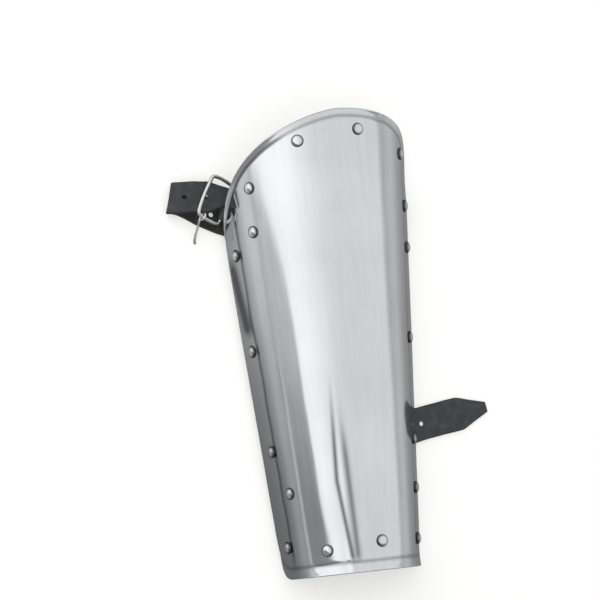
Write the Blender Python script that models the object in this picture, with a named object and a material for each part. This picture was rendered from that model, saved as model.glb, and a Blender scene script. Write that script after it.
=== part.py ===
"""Steel greave: a half-tube shin guard with its two leather straps, lying open side down.

The knee end points along +Y, the shin line stands up along +Z, and the buckles are at -X.
"drop" is the distance below the peak of the knee end, measured along the leg, and "arc" is the
distance from the shin line, measured round the outside of the shell, negative at -X.
"""
import math

import bmesh
import bpy
from mathutils import Matrix, Vector

# Shell, in metres and radians
SHELL_LENGTH = 0.363
KNEE_RADIUS = 0.0795
ANKLE_RADIUS = 0.0520
SHELL_WALL = 0.0012
CREASE_ANGLE = math.radians(70.0)
FLANGE_WIDTH = 0.020
PEAK_OFFSET = 0.012
LEFT_SHOULDER_DROP = 0.084
RIGHT_SHOULDER_DROP = 0.050
FOOT_CORNER_RADIUS = 0.014
KNEE_LIP_WIDTH = 0.0070
FOOT_LIP_WIDTH = 0.0080
LIP_FLARE = 0.0028
KNEE_LIFT = 0.0080
ANKLE_LIFT = 0.0037

# Rivets
HEAD_RADIUS = 0.0050
HEAD_HEIGHT = 0.0031
SHANK_RADIUS = 0.0016
TAIL_RADIUS = 0.0031
TAIL_HEIGHT = 0.0011
HOLE_CLEARANCE = 0.0004
HOLE_DEPTH = 0.012

# Straps and buckles
STRAP_THICKNESS = 0.0024
CHAPE_THICKNESS = 0.0016
UPPER_STRAP_WIDTH = 0.025
LOWER_STRAP_WIDTH = 0.027
TIP_LENGTH = 0.023
TIP_SHARE = 0.30
STRAP_HOLE_RADIUS = 0.0017
STRAP_HOLE_SPACING = 0.018
LAST_HOLE_TO_TIP = 0.056
FREE_END_LENGTH = 0.063
LOOP_REACH = 0.040
LOOP_HEIGHT = 0.0142
STRAP_END_HEIGHT = 0.0115
WIRE_RADIUS = 0.0015
PRONG_RADIUS = 0.0010
PRONG_LENGTH = 0.026
BUCKLE_DEPTH = 0.0225
BUCKLE_ROOM = 0.0029
BUCKLE_CORNER = 0.0036
BUCKLE_YAW = math.radians(28.0)
BAR_CLEARANCE = 0.0013
PRONG_SKEW = math.radians(20.0)
CHAPE_STUB = 0.015
SLOT_WIDTH = 0.0050
SLOT_LENGTH = 0.018
BEND_RADIUS = 0.0050
GAP = 0.0003
WALL_GAP = 0.0005

# Mesh fineness
BEND_COLUMNS = 22
FLANGE_COLUMNS = 5
SHELL_ROWS = 11
LIP_ROWS = 2
RIVET_SIDES = 12
WIRE_SIDES = 8

STEEL = ((0.62, 0.64, 0.65, 1.0), 1.0, 0.16)
RIVET_STEEL = ((0.66, 0.67, 0.68, 1.0), 1.0, 0.22)
NICKEL = ((0.70, 0.69, 0.66, 1.0), 1.0, 0.24)
LEATHER = ((0.018, 0.018, 0.020, 1.0), 0.0, 0.52)

# name, share of the length below the peak, share of the half width, what it holds
RIVETS = (
    ("dome_left", 0.0612, -0.195, None),
    ("dome_right", 0.0449, 0.245, None),
    ("shoulder_left", 0.1458, -0.605, None),
    ("shoulder_right", 0.0918, 0.760, None),
    ("upper_chape", 0.2416, -0.630, "chape"),
    ("upper_strap", 0.2039, 0.880, "strap"),
    ("side_left_1", 0.2834, -0.883, None),
    ("side_right_1", 0.2956, 0.915, None),
    ("side_left_2", 0.4964, -0.880, None),
    ("side_right_2", 0.4964, 0.865, None),
    ("side_left_3", 0.7196, -0.847, None),
    ("side_right_3", 0.7196, 0.855, None),
    ("lower_chape", 0.8154, -0.674, "chape"),
    ("lower_strap", 0.8277, 0.860, "strap"),
    ("corner_left", 0.9316, -0.840, None),
    ("corner_right", 0.9398, 0.850, None),
    ("foot_left", 0.9470, -0.350, None),
    ("foot_right", 0.9380, 0.177, None),
)


def shell_radius(drop):
    return KNEE_RADIUS + (ANKLE_RADIUS - KNEE_RADIUS) * drop / SHELL_LENGTH


def half_arc(drop):
    return shell_radius(drop) * CREASE_ANGLE + FLANGE_WIDTH


def edge_lift(drop):
    return KNEE_LIFT + (ANKLE_LIFT - KNEE_LIFT) * drop / SHELL_LENGTH


def shell_point(drop, arc, out=0.0):
    """Point on the outer face, moved outward by out; it bends to the crease, then runs straight."""
    radius = shell_radius(drop)
    past = max(abs(arc) - radius * CREASE_ANGLE, 0.0)
    side = math.copysign(1.0, arc)
    turn = min(abs(arc) / radius, CREASE_ANGLE)
    normal = Vector((side * math.sin(turn), 0.0, math.cos(turn)))
    centre_z = edge_lift(drop) + FLANGE_WIDTH * math.sin(CREASE_ANGLE) - radius * math.cos(CREASE_ANGLE)
    along = Vector((side * math.cos(CREASE_ANGLE), 0.0, -math.sin(CREASE_ANGLE)))
    middle = Vector((0.0, SHELL_LENGTH / 2 - drop, centre_z))
    return middle + normal * (radius + out) + along * past


def along_shell(drop, arc):
    """Direction of the straight line on the tapered shell that runs through a point to the foot."""
    step = SHELL_WALL
    bend = shell_radius(drop) * CREASE_ANGLE
    next_bend = shell_radius(drop + step) * CREASE_ANGLE
    if abs(arc) < bend:
        next_arc = arc * next_bend / bend
    else:
        next_arc = arc + math.copysign(next_bend - bend, arc)
    return (shell_point(drop + step, next_arc) - shell_point(drop, arc)).normalized()


def shell_normal(drop, arc):
    """Outward direction, square to the tapered shell."""
    step = SHELL_WALL
    round_leg = shell_point(drop, arc + step) - shell_point(drop, arc - step)
    return along_shell(drop, arc).cross(round_leg).normalized()


def side_edge(drop, side):
    return shell_point(drop, side * half_arc(drop))


def knee_outline(share):
    """Drop of the knee edge where the arc is this share of the half width."""
    peak = PEAK_OFFSET / half_arc(0.0)
    if share < peak:
        reach, fall, power = (peak - share) / (peak + 1.0), LEFT_SHOULDER_DROP, 1.52
    else:
        reach, fall, power = (share - peak) / (1.0 - peak), RIGHT_SHOULDER_DROP, 2.0
    return fall * (1.0 - max(1.0 - min(reach, 1.0) ** power, 0.0) ** (1.0 / power))


def foot_outline(share):
    """Drop of the foot edge, straight across with two rounded corners."""
    from_side = (1.0 - abs(share)) * half_arc(SHELL_LENGTH)
    cut = max(FOOT_CORNER_RADIUS - from_side, 0.0)
    return SHELL_LENGTH - FOOT_CORNER_RADIUS + math.sqrt(FOOT_CORNER_RADIUS ** 2 - cut ** 2)


def column_shares():
    """Each column's share of the bend and of the flange, crowded towards the side edges."""
    flange = [(1.0, math.sin(math.pi / 2 * k / FLANGE_COLUMNS)) for k in range(1, FLANGE_COLUMNS + 1)]
    bend = [(2.0 * k / BEND_COLUMNS - 1.0, 0.0) for k in range(BEND_COLUMNS + 1)]
    left = [(-b, -f) for b, f in reversed(flange)]
    return left + bend + flange


def add_object(name, mesh_data, finish):
    mesh = bpy.data.meshes.new(name)
    mesh_data.to_mesh(mesh)
    mesh_data.free()
    obj = bpy.data.objects.new(name, mesh)
    bpy.context.scene.collection.objects.link(obj)
    colour, metallic, roughness = finish
    material = bpy.data.materials.new(name)
    material.use_nodes = True
    shader = material.node_tree.nodes["Principled BSDF"]
    shader.inputs["Base Color"].default_value = colour
    shader.inputs["Metallic"].default_value = metallic
    shader.inputs["Roughness"].default_value = roughness
    material.diffuse_color = colour
    mesh.materials.append(material)
    return obj


def smooth_round(obj, angle=math.radians(40.0)):
    obj.data.shade_smooth()
    obj.data.set_sharp_from_angle(angle=angle)


def drill(obj, places, radius, slots=()):
    """Cuts a round hole at each place, a matrix whose Z is the hole's axis, and each slot's box."""
    cutter = bmesh.new()
    for place in places:
        bmesh.ops.create_cone(cutter, cap_ends=True, segments=10, radius1=radius, radius2=radius,
                              depth=HOLE_DEPTH, matrix=place)
    for slot in slots:
        bmesh.ops.create_cube(cutter, size=1.0, matrix=slot)
    tool = add_object(obj.name + "_holes", cutter, STEEL)
    tool.hide_render = True
    tool.display_type = "WIRE"
    cut = obj.modifiers.new("Holes", "BOOLEAN")
    cut.object = tool
    cut.solver = "EXACT"


def rivet_place(row):
    """Matrix at a rivet: Z outward from the shell, origin on the outer face."""
    drop = row[1] * SHELL_LENGTH
    arc = row[2] * half_arc(drop)
    z_axis = shell_normal(drop, arc)
    y_axis = -along_shell(drop, arc)
    place = Matrix((y_axis.cross(z_axis), y_axis, z_axis)).transposed().to_4x4()
    place.translation = shell_point(drop, arc)
    return place


def rivet_row(name):
    return next(row for row in RIVETS if row[0] == name)


def make_shell():
    grid = bmesh.new()
    columns = []
    for bend_share, flange_share in column_shares():
        knee_arc = bend_share * KNEE_RADIUS * CREASE_ANGLE + flange_share * FLANGE_WIDTH
        foot_arc = bend_share * ANKLE_RADIUS * CREASE_ANGLE + flange_share * FLANGE_WIDTH
        top = knee_outline(knee_arc / half_arc(0.0))
        foot = foot_outline(foot_arc / half_arc(SHELL_LENGTH))
        inner_top = top + KNEE_LIP_WIDTH
        inner_foot = foot - FOOT_LIP_WIDTH
        drops = [(top + KNEE_LIP_WIDTH * k / LIP_ROWS, 1.0 - k / LIP_ROWS) for k in range(LIP_ROWS)]
        drops += [(inner_top + (inner_foot - inner_top) * k / SHELL_ROWS, 0.0)
                  for k in range(SHELL_ROWS + 1)]
        drops += [(inner_foot + FOOT_LIP_WIDTH * k / LIP_ROWS, k / LIP_ROWS)
                  for k in range(1, LIP_ROWS + 1)]
        column = []
        for drop, flare in drops:
            arc = bend_share * shell_radius(drop) * CREASE_ANGLE + flange_share * FLANGE_WIDTH
            turned = LIP_FLARE * flare ** 2 * (1.0 - flange_share ** 2)
            column.append(grid.verts.new(shell_point(drop, arc, turned)))
        columns.append(column)
    for left, right in zip(columns, columns[1:]):
        for k in range(len(left) - 1):
            grid.faces.new((left[k], left[k + 1], right[k + 1], right[k]))
    shell = add_object("shell", grid, STEEL)
    wall = shell.modifiers.new("Wall", "SOLIDIFY")
    wall.thickness = SHELL_WALL
    wall.offset = -1.0
    drill(shell, [rivet_place(row) for row in RIVETS], SHANK_RADIUS + HOLE_CLEARANCE)
    smooth_round(shell, math.radians(35.0))


def turned(profile, sides, place):
    """Solid turned about Z from (radius, height) points, the first and last on the axis."""
    lathe = bmesh.new()
    rings = []
    for radius, height in profile[1:-1]:
        turns = [2 * math.pi * k / sides for k in range(sides)]
        rings.append([lathe.verts.new((radius * math.cos(t), radius * math.sin(t), height)) for t in turns])
    poles = [lathe.verts.new((0.0, 0.0, profile[i][1])) for i in (0, -1)]
    for k in range(sides):
        after = (k + 1) % sides
        lathe.faces.new((poles[0], rings[0][k], rings[0][after]))
        for upper, lower in zip(rings, rings[1:]):
            lathe.faces.new((upper[k], lower[k], lower[after], upper[after]))
        lathe.faces.new((poles[1], rings[-1][after], rings[-1][k]))
    bmesh.ops.transform(lathe, matrix=place, verts=lathe.verts)
    bmesh.ops.recalc_face_normals(lathe, faces=lathe.faces)
    return lathe


def make_rivets():
    """Domed head outside, shank through the wall and any leather, turned-over tail inside."""
    for row in RIVETS:
        leather = {"chape": CHAPE_THICKNESS + GAP, "strap": STRAP_THICKNESS + GAP, None: 0.0}[row[3]]
        inside = -(SHELL_WALL + leather + WALL_GAP)
        curve = (HEAD_RADIUS ** 2 + HEAD_HEIGHT ** 2) / (2 * HEAD_HEIGHT)
        profile = [(0.0, GAP + HEAD_HEIGHT)]
        for share in (0.38, 0.70, 0.92):
            radius = HEAD_RADIUS * share
            rise = HEAD_HEIGHT - curve + math.sqrt(curve ** 2 - radius ** 2)
            profile.append((radius, GAP + rise))
        profile += [(HEAD_RADIUS, GAP), (SHANK_RADIUS, GAP), (SHANK_RADIUS, inside), (TAIL_RADIUS, inside)]
        profile += [(TAIL_RADIUS * 0.75, inside - TAIL_HEIGHT), (0.0, inside - TAIL_HEIGHT)]
        obj = add_object("rivet_" + row[0], turned(profile, RIVET_SIDES, rivet_place(row)), RIVET_STEEL)
        smooth_round(obj)


def smooth(stations, steps):
    """Catmull-Rom curve through (centre, across) stations."""
    ends = [stations[0]] + stations + [stations[-1]]
    curve = []
    for i in range(1, len(ends) - 2):
        for k in range(steps):
            t = k / steps
            weights = (-t ** 3 + 2 * t ** 2 - t, 3 * t ** 3 - 5 * t ** 2 + 2,
                       -3 * t ** 3 + 4 * t ** 2 + t, t ** 3 - t ** 2)
            near = ends[i - 1:i + 3]
            curve.append(tuple(sum((w * s[j] for w, s in zip(weights, near)), Vector()) / 2
                               for j in range(2)))
    return curve + [stations[-1]]


def above(stations, height):
    """The same stations, none lower than this."""
    return [(Vector((centre.x, centre.y, max(centre.z, height))), across) for centre, across in stations]


def turn_round(centre, start, axis, angle, steps, across_ends):
    """Stations on an arc about axis, from centre + start, with the width turning evenly."""
    first, last = across_ends
    stations = []
    for k in range(steps + 1):
        share = k / steps
        spoke = Matrix.Rotation(angle * share, 3, axis) @ start
        stations.append((centre + spoke, first.lerp(last, share)))
    return stations


def lengths_along(stations):
    total = [0.0]
    for before, after in zip(stations, stations[1:]):
        total.append(total[-1] + (after[0] - before[0]).length)
    return total


def station_frame(stations, k):
    """Centre, running direction, width direction and face direction at station k."""
    ahead = stations[min(k + 1, len(stations) - 1)][0]
    behind = stations[max(k - 1, 0)][0]
    along = (ahead - behind).normalized()
    across = stations[k][1].normalized()
    return stations[k][0], along, across, along.cross(across).normalized()


def split_at(stations, length):
    """The same stations with one more placed at this length along them."""
    run = lengths_along(stations)
    for k in range(len(run) - 1):
        if run[k] + GAP < length < run[k + 1] - GAP:
            share = (length - run[k]) / (run[k + 1] - run[k])
            between = tuple(a.lerp(b, share) for a, b in zip(stations[k], stations[k + 1]))
            return stations[:k + 1] + [between] + stations[k + 1:]
    return stations


def ribbon(name, stations, width, thickness, pointed):
    """Closed flat strap along the stations; a pointed one tapers to a cut-off tip."""
    if pointed:
        stations = split_at(stations, lengths_along(stations)[-1] - TIP_LENGTH)
    run = lengths_along(stations)
    strip = bmesh.new()
    rows = []
    for k in range(len(stations)):
        centre, _, across, face = station_frame(stations, k)
        taper = 1.0
        if pointed:
            left = (run[-1] - run[k]) / TIP_LENGTH
            taper = min(1.0, TIP_SHARE + (1.0 - TIP_SHARE) * left)
        side = across * (width * taper / 2)
        up = face * (thickness / 2)
        rows.append([strip.verts.new(p) for p in
                     (centre - side - up, centre + side - up, centre + side + up, centre - side + up)])
    for before, after in zip(rows, rows[1:]):
        for k in range(4):
            n = (k + 1) % 4
            strip.faces.new((before[k], before[n], after[n], after[k]))
    strip.faces.new(tuple(reversed(rows[0])))
    strip.faces.new(tuple(rows[-1]))
    bmesh.ops.recalc_face_normals(strip, faces=strip.faces)
    return add_object(name, strip, LEATHER)


def strap_holes(stations, first, last):
    """Places of the buckle holes, counted back from the tip, each square to the leather."""
    run = lengths_along(stations)
    places = []
    distance = first
    while distance < last:
        goal = run[-1] - distance
        k = min(range(1, len(run) - 1), key=lambda i: abs(run[i] - goal))
        centre, along, _, face = station_frame(stations, k)
        place = Matrix((along, face.cross(along), face)).transposed().to_4x4()
        place.translation = centre + along * (goal - run[k])
        places.append(place)
        distance += STRAP_HOLE_SPACING
    return places


def wall_station(drop, arc, thickness, clear=0.0):
    """Station of leather lying against the inside of the shell, or a little clear of it."""
    inset = SHELL_WALL + WALL_GAP + thickness / 2 + clear
    return shell_point(drop, arc) - shell_normal(drop, arc) * inset, along_shell(drop, arc)


def wall_to_floor(drop, thickness, height):
    """Stations down the inside of the right wall and round onto the floor, heading for -X."""
    down = Vector((math.cos(CREASE_ANGLE), 0.0, -math.sin(CREASE_ANGLE)))
    inward = Vector((-math.sin(CREASE_ANGLE), 0.0, -math.cos(CREASE_ANGLE)))
    edge = wall_station(drop, half_arc(drop), thickness)[0]
    start_z = height + BEND_RADIUS * (1.0 + math.cos(CREASE_ANGLE))
    start = edge + down * ((start_z - edge.z) / down.z)
    centre = start + inward * BEND_RADIUS
    foot = Vector((0.0, -1.0, 0.0))
    ends = (along_shell(drop, half_arc(drop)), foot)
    return turn_round(centre, start - centre, foot, -(math.pi - CREASE_ANGLE), 6, ends)


def smooth_wire(path, radius, sides, closed):
    """Round wire along a path of points, capped at its ends unless it is closed."""
    wire = bmesh.new()
    count = len(path)
    rings = []
    normal = None
    for k in range(count):
        ahead = path[(k + 1) % count] if closed else path[min(k + 1, count - 1)]
        behind = path[(k - 1) % count] if closed else path[max(k - 1, 0)]
        along = (ahead - behind).normalized()
        if normal is None:
            normal = along.orthogonal()
        normal = (normal - along * normal.dot(along)).normalized()
        other = along.cross(normal)
        turns = [2 * math.pi * i / sides for i in range(sides)]
        rings.append([wire.verts.new(path[k] + (normal * math.cos(t) + other * math.sin(t)) * radius)
                      for t in turns])
    pairs = list(zip(rings, rings[1:])) + ([(rings[-1], rings[0])] if closed else [])
    for before, after in pairs:
        for i in range(sides):
            n = (i + 1) % sides
            wire.faces.new((before[i], before[n], after[n], after[i]))
    if not closed:
        wire.faces.new(tuple(reversed(rings[0])))
        wire.faces.new(tuple(rings[-1]))
    bmesh.ops.recalc_face_normals(wire, faces=wire.faces)
    return wire


class Buckle:
    """Wire frame given by the middle of its outer bar and its bar and depth directions."""

    def __init__(self, outer_middle, bar, depth, strap_width):
        self.outer_middle = outer_middle
        self.bar = bar.normalized()
        self.depth = (depth - self.bar * depth.dot(self.bar)).normalized()
        self.half = strap_width / 2 + BUCKLE_ROOM + WIRE_RADIUS
        self.hinge_middle = outer_middle + self.depth * BUCKLE_DEPTH

    def frame(self, name):
        path = []
        spread = self.half - BUCKLE_CORNER
        corners = ((-spread, BUCKLE_CORNER, math.pi), (spread, BUCKLE_CORNER, 1.5 * math.pi),
                   (spread, BUCKLE_DEPTH - BUCKLE_CORNER, 0.0),
                   (-spread, BUCKLE_DEPTH - BUCKLE_CORNER, 0.5 * math.pi))
        for across, deep, start in corners:
            for k in range(5):
                turn = start + math.pi / 2 * k / 4
                path.append(self.outer_middle + self.bar * (across + BUCKLE_CORNER * math.cos(turn))
                            + self.depth * (deep + BUCKLE_CORNER * math.sin(turn)))
        obj = add_object(name, smooth_wire(path, WIRE_RADIUS, WIRE_SIDES, True), NICKEL)
        smooth_round(obj)

    def prong(self, name, eye, bar, toward, tip_drop, skew=0.0):
        """Wire bent round the frame at eye, then straight towards the given way with a bent tip."""
        ring = WIRE_RADIUS + GAP + PRONG_RADIUS
        toward = (toward - bar * toward.dot(bar)).normalized()
        side = bar.cross(toward)
        path = []
        for k in range(9):
            turn = math.radians(-30.0 + 285.0 * (1.0 - k / 8))
            path.append(eye - toward * (ring * math.sin(turn)) + side * (ring * math.cos(turn)))
        start = path[-1]
        lean = (toward + bar * math.tan(skew)).normalized()
        shaft = PRONG_LENGTH - ring
        for share, sink in ((0.35, 0.0), (0.75, 0.0), (0.92, 0.35), (1.0, 1.0)):
            path.append(start + lean * (shaft * share) + tip_drop * (WIRE_RADIUS * sink))
        obj = add_object(name, smooth_wire(path, PRONG_RADIUS, 6, False), NICKEL)
        smooth_round(obj)


def chape_fold(buckle, leave):
    """Stations round the hinge bar; the stub and the long run both go off along leave."""
    reach = WIRE_RADIUS + GAP + CHAPE_THICKNESS / 2
    up = buckle.bar.cross(leave)
    if up.z < 0:
        up = -up
    spin = -math.pi if up.cross(-leave).dot(buckle.bar) < 0 else math.pi
    bar = buckle.bar
    fold = turn_round(buckle.hinge_middle, up * reach, bar, spin, 8, (bar, bar))
    stub = [(fold[-1][0] + leave * (CHAPE_STUB * share), bar) for share in (0.3, 1.0)]
    return fold + stub


def prong_slot(buckle, leave):
    """Box that cuts the fold open where the prong goes round the hinge bar."""
    up = buckle.bar.cross(leave)
    size = Matrix.Diagonal((SLOT_WIDTH, SLOT_LENGTH, SLOT_LENGTH, 1.0))
    place = Matrix((buckle.bar, leave, up)).transposed().to_4x4()
    place.translation = buckle.hinge_middle
    return place @ size


def make_upper_straps():
    width, half_thick = UPPER_STRAP_WIDTH, STRAP_THICKNESS / 2
    strap_row, chape_row = rivet_row("upper_strap"), rivet_row("upper_chape")
    drop = strap_row[1] * SHELL_LENGTH
    foot_side = Vector((0.0, -1.0, 0.0))
    rivet_arc = strap_row[2] * half_arc(drop)
    wall = [wall_station(drop, rivet_arc - width * share, STRAP_THICKNESS) for share in (0.4, 0.0)]
    bend = wall_to_floor(drop, STRAP_THICKNESS, half_thick)

    # share of the way from the right wall to the left edge, share of the strap width below the
    # rivet's drop, and the slant of the strap towards the knee in degrees
    floor_rows = ((0.12, 0.06, 4.0), (0.35, 0.34, 8.0), (0.60, 0.50, -4.0), (0.82, 0.22, -22.0),
                  (1.00, -0.16, -30.0))
    start = bend[-1][0]
    left = side_edge(drop, -1)
    floor = [bend[-1]]
    for across, below, slant in floor_rows:
        x = start.x + (left.x - start.x) * across
        y = start.y - width * below
        turned_side = Matrix.Rotation(math.radians(slant), 3, "Z") @ foot_side
        floor.append((Vector((x, y, half_thick)), turned_side))

    edge = floor[-1][0]
    radius = (LOOP_HEIGHT - half_thick) / 2
    fold_middle = Vector((left.x - LOOP_REACH + radius, edge.y + width * 0.72, half_thick + radius))
    tilt_in = Matrix.Rotation(math.radians(-28.0), 3, "Z") @ foot_side
    out = Vector((-1.0, 0.12, 0.0)).normalized()
    loop_axis = out.cross(Vector((0.0, 0.0, 1.0)))
    fold = turn_round(fold_middle, Vector((0.0, 0.0, -radius)), loop_axis, math.pi, 8,
                      (tilt_in, foot_side))
    top = fold[-1][0]
    # share of the way from the fold to the left edge, share of the strap width towards the foot,
    # and share of the fall from the loop's height to the strap end's
    tail_rows = ((0.30, 0.00, 0.05), (0.62, 0.03, 0.50), (1.00, 0.04, 1.00), (1.40, 0.06, 1.00))
    tail = []
    for along, below, fall in tail_rows:
        point = Vector((top.x + (left.x - top.x) * along, top.y - width * below,
                        top.z + (STRAP_END_HEIGHT - LOOP_HEIGHT) * fall))
        tail.append((point, foot_side))
    stations = smooth(wall + [bend[0]], 3)[:-1] + bend[:-1]
    stations += smooth(floor + [fold[0]], 3)[:-1] + fold[:-1] + smooth([fold[-1]] + tail, 3)
    strap = ribbon("upper_strap", stations, width, STRAP_THICKNESS, True)
    drill(strap, [rivet_place(strap_row)] + strap_holes(stations, TIP_LENGTH * 1.1, 0.10),
          STRAP_HOLE_RADIUS + HOLE_CLEARANCE)

    # the outer bar lies across the upper run of the loop
    under_bar = tail[1][0]
    bar = Vector((-math.sin(BUCKLE_YAW), -math.cos(BUCKLE_YAW), 0.0))
    flat_depth = Vector((math.cos(BUCKLE_YAW), -math.sin(BUCKLE_YAW), 0.0))
    outer_height = under_bar.z + half_thick + BAR_CLEARANCE + WIRE_RADIUS
    hinge_height = STRAP_THICKNESS + CHAPE_THICKNESS + 3 * GAP + WIRE_RADIUS
    pitch = math.asin((outer_height - hinge_height) / BUCKLE_DEPTH)
    depth = flat_depth * math.cos(pitch) - Vector((0.0, 0.0, math.sin(pitch)))
    aside = BUCKLE_DEPTH * 0.15 * math.sin(BUCKLE_YAW)
    buckle = Buckle(Vector((under_bar.x, under_bar.y + aside, outer_height)), bar, depth, width)
    buckle.frame("upper_buckle")

    fold = chape_fold(buckle, flat_depth)
    rivet_drop = chape_row[1] * SHELL_LENGTH
    rivet_arc = chape_row[2] * half_arc(rivet_drop)
    fixed = [wall_station(rivet_drop, rivet_arc + width * share, CHAPE_THICKNESS, CHAPE_THICKNESS * off)
             for share, off in ((0.40, 0.0), (0.20, 0.0), (0.0, 0.0), (-0.20, 0.3), (-0.40, 1.6))]
    landing = fold[0][0] + flat_depth * (width * 0.36)
    # share of the way from the hinge bar to the wall, and how far it swings inward in strap widths
    rise = []
    for share, swing in ((0.60, 0.20), (0.24, 0.34)):
        point = landing.lerp(fixed[-1][0], share) + Vector((width * swing, 0.0, 0.0))
        rise.append((point, buckle.bar.lerp(fixed[-1][1], share)))
    stations = smooth(fixed + rise + [(landing, buckle.bar), fold[0]], 3)[:-1] + fold
    chape = ribbon("upper_chape", stations, width, CHAPE_THICKNESS, False)
    drill(chape, [rivet_place(chape_row)], SHANK_RADIUS + HOLE_CLEARANCE, [prong_slot(buckle, flat_depth)])

    # the prong hangs from the frame's foot-side bar and its tip rests on the floor
    corner = buckle.outer_middle + buckle.bar * buckle.half
    eye = corner + buckle.depth * (BUCKLE_CORNER * 1.6)
    fall = eye.z - PRONG_RADIUS
    level = math.sqrt(max(PRONG_LENGTH ** 2 - fall ** 2, 0.0))
    hang = Vector((level * 0.06, -level, -fall * 1.04))
    buckle.prong("upper_prong", eye, buckle.depth, hang, Vector((0.9, 0.0, -0.3)), PRONG_SKEW)


def make_lower_straps():
    width, half_thick = LOWER_STRAP_WIDTH, STRAP_THICKNESS / 2
    strap_row, chape_row = rivet_row("lower_strap"), rivet_row("lower_chape")
    drop = strap_row[1] * SHELL_LENGTH
    foot_side = Vector((0.0, -1.0, 0.0))
    rivet_arc = strap_row[2] * half_arc(drop)
    wall = [wall_station(drop, rivet_arc - width * share, STRAP_THICKNESS) for share in (0.4, 0.0)]
    bend = wall_to_floor(drop, STRAP_THICKNESS, half_thick)

    reach = WIRE_RADIUS + GAP + half_thick
    left = side_edge(chape_row[1] * SHELL_LENGTH, -1)
    bar_middle = Vector((left.x + BUCKLE_DEPTH + width * 0.64, left.y, half_thick + reach))
    under = bar_middle - Vector((0.0, 0.0, reach))
    floor = [bend[-1], (bend[-1][0].lerp(under, 0.5), foot_side), (under, foot_side)]
    fold = turn_round(bar_middle, Vector((0.0, 0.0, -reach)), foot_side, -math.pi, 8,
                      (foot_side, foot_side))

    # share of the way from the buckle to the right edge, share of the strap width towards the
    # knee, height over the floor run in strap thicknesses, and the slant in degrees
    back_rows = ((0.12, 0.06, 2.4, 12.0), (0.34, 0.46, 2.2, 28.0), (0.60, 1.03, 1.6, 25.0),
                 (0.84, 1.45, 0.0, 15.0), (1.00, 1.66, 0.0, 11.0))
    right = side_edge(drop - width * 1.8, 1)
    back = []
    for across, ahead, layers, slant in back_rows:
        x = bar_middle.x + (right.x - bar_middle.x) * across
        y = bar_middle.y + width * ahead
        turned_side = Matrix.Rotation(math.radians(slant), 3, "Z") @ foot_side
        back.append((Vector((x, y, half_thick + STRAP_THICKNESS * layers)), turned_side))
    lean = math.radians(9.0)
    ahead = Vector((math.cos(lean), math.sin(lean), 0.0))
    free_side = Matrix.Rotation(lean, 3, "Z") @ foot_side
    free = [(back[-1][0] + ahead * (FREE_END_LENGTH * share), free_side) for share in (0.35, 0.7, 1.0)]
    stations = smooth(wall + [bend[0]], 3)[:-1] + bend[:-1]
    stations += smooth(floor, 3)[:-1] + fold[:-1] + above(smooth([fold[-1]] + back + free, 3), half_thick)
    strap = ribbon("lower_strap", stations, width, STRAP_THICKNESS, True)
    drill(strap, [rivet_place(strap_row)] + strap_holes(stations, LAST_HOLE_TO_TIP, 0.12),
          STRAP_HOLE_RADIUS + HOLE_CLEARANCE)

    into = Vector((-1.0, 0.0, 0.0))
    buckle = Buckle(bar_middle, foot_side, into, width)
    buckle.frame("lower_buckle")
    fold = chape_fold(buckle, into)
    rivet_drop = chape_row[1] * SHELL_LENGTH
    rivet_arc = chape_row[2] * half_arc(rivet_drop)
    fixed = [wall_station(rivet_drop, rivet_arc + width * share, CHAPE_THICKNESS, CHAPE_THICKNESS * off)
             for share, off in ((0.36, 0.0), (0.18, 0.0), (0.0, 0.0), (-0.22, 0.0), (-0.42, 1.2))]
    last = fixed[-1][0]
    landing = fold[0][0] + into * (width * 0.22)
    turn = [(Vector((last.x * 0.50 + landing.x * 0.50, last.y, last.z * 0.46 + landing.z * 0.54)),
             fixed[-1][1]), (landing, foot_side)]
    stations = smooth(fixed + turn + [fold[0]], 3)[:-1] + fold
    chape = ribbon("lower_chape", stations, width, CHAPE_THICKNESS, False)
    drill(chape, [rivet_place(chape_row)], SHANK_RADIUS + HOLE_CLEARANCE, [prong_slot(buckle, into)])
    buckle.prong("lower_prong", buckle.hinge_middle, buckle.bar, Vector((1.0, 0.0, 0.22)),
                 Vector((0.0, 0.0, -0.6)))


def stand_on_origin():
    """Moves everything so that the origin is on the floor under the middle of the whole outline."""
    view = bpy.context.evaluated_depsgraph_get()
    solids = [obj for obj in bpy.data.objects if not obj.hide_render]
    points = []
    for obj in solids:
        shape = obj.evaluated_get(view).to_mesh()
        points += [obj.matrix_world @ v.co for v in shape.vertices]
    middle = [(min(p[i] for p in points) + max(p[i] for p in points)) / 2 for i in (0, 1)]
    low = min(p.z for p in points)
    for obj in bpy.data.objects:
        obj.location = (-middle[0], -middle[1], -low)


def main():
    for obj in list(bpy.data.objects):
        bpy.data.objects.remove(obj)
    make_shell()
    make_rivets()
    make_upper_straps()
    make_lower_straps()
    stand_on_origin()


main()
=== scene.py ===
"""Steel greave lying open side down on a pale studio floor: its looks, piece by piece.

Metres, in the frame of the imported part: +Y to the knee, +Z out of the shin, buckles at -X.
"""
import math

import bmesh
import bpy
from mathutils import Matrix, Vector


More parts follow.
